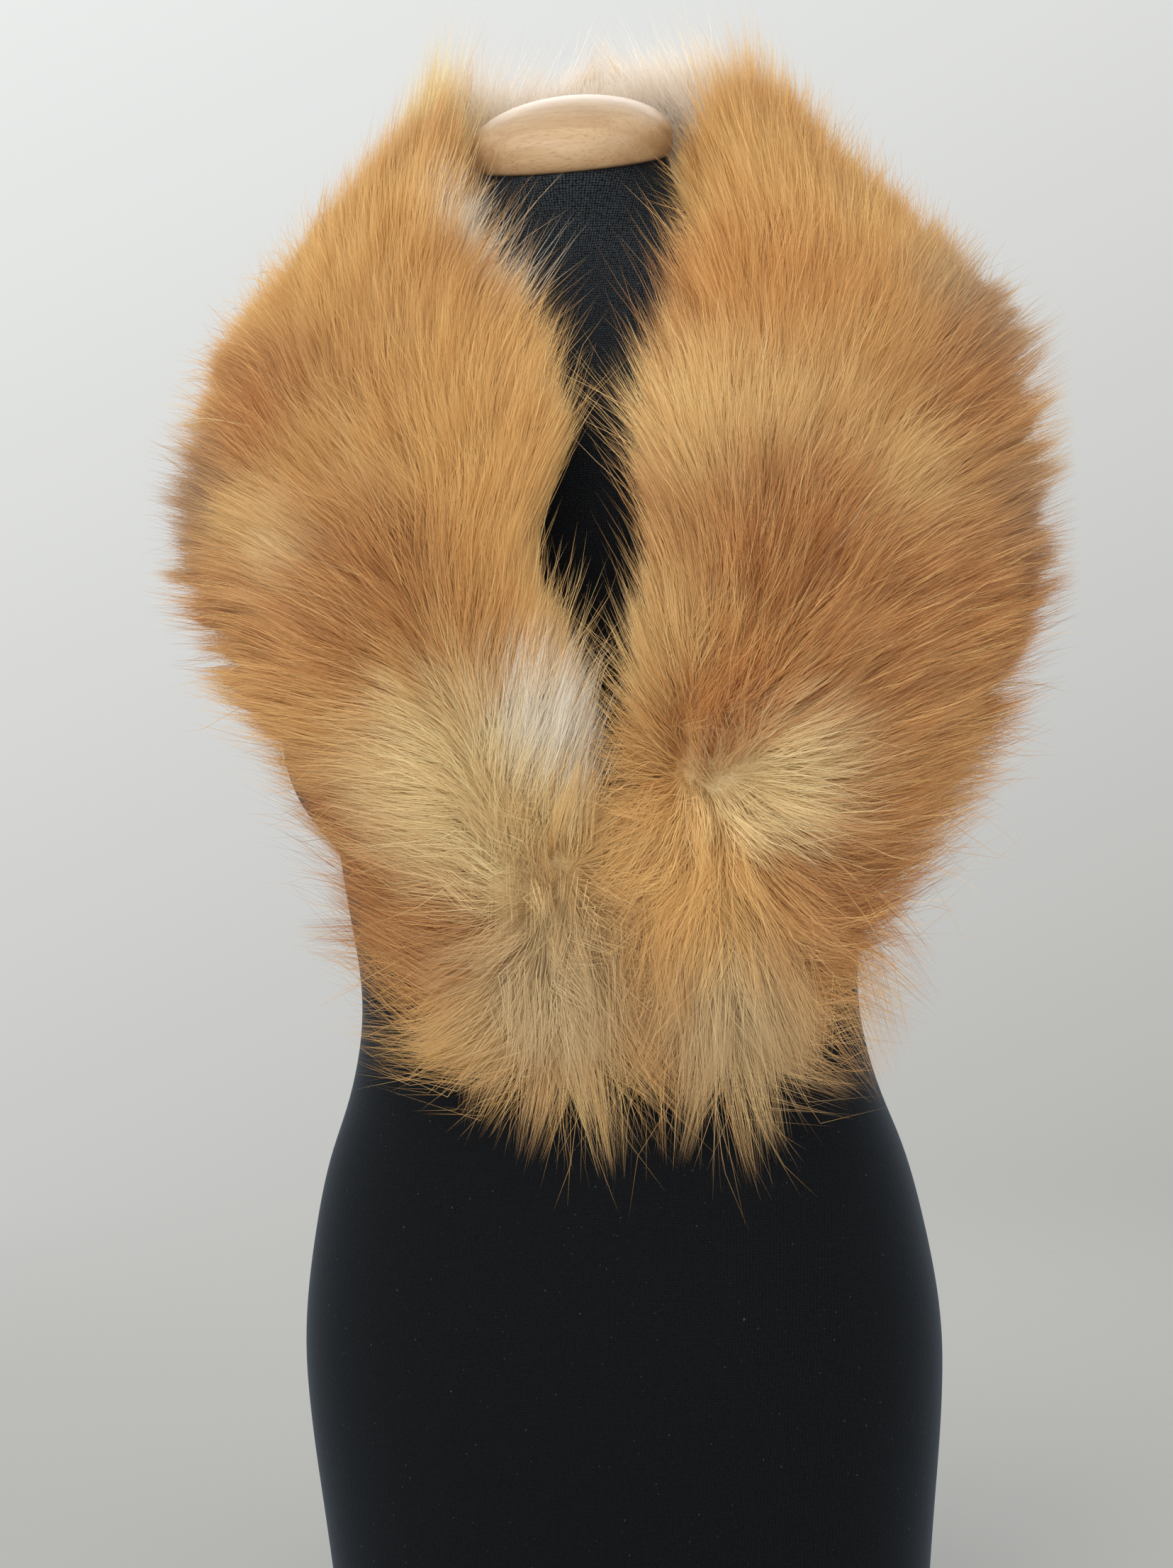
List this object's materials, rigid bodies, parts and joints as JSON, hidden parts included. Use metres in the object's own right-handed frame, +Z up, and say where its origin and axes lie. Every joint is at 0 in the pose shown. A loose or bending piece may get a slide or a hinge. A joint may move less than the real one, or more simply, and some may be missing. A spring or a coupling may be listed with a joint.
{
  "type": "fur collar stole on a limbless dress form",
  "caption": "Fur collar stole of dressed fox pelts sewn at the nape, draped over the shoulders of a limbless black dress form with a wooden neck cap.",
  "frame": {"origin": "middle of the flat bottom of the dress form, on the surface that it stands on", "axes": "+Z up; the form faces -Y; +X is to the right as seen from the front"},
  "size_m": [0.4878, 0.3662, 0.9256],
  "materials": {
    "jersey": "matt black knitted jersey over the form",
    "beech": "turned beech with a satin varnish",
    "fur_left": "long red fox fur, orange tan with cream and rust",
    "fur_right": "long red fox fur, orange tan with cream and rust"
  },
  "bodies": {
    "root": {"form_torso": "jersey", "neck_cap": "beech", "pelt_left": "fur_left", "pelt_right": "fur_right"}
  },
  "joints": []
}
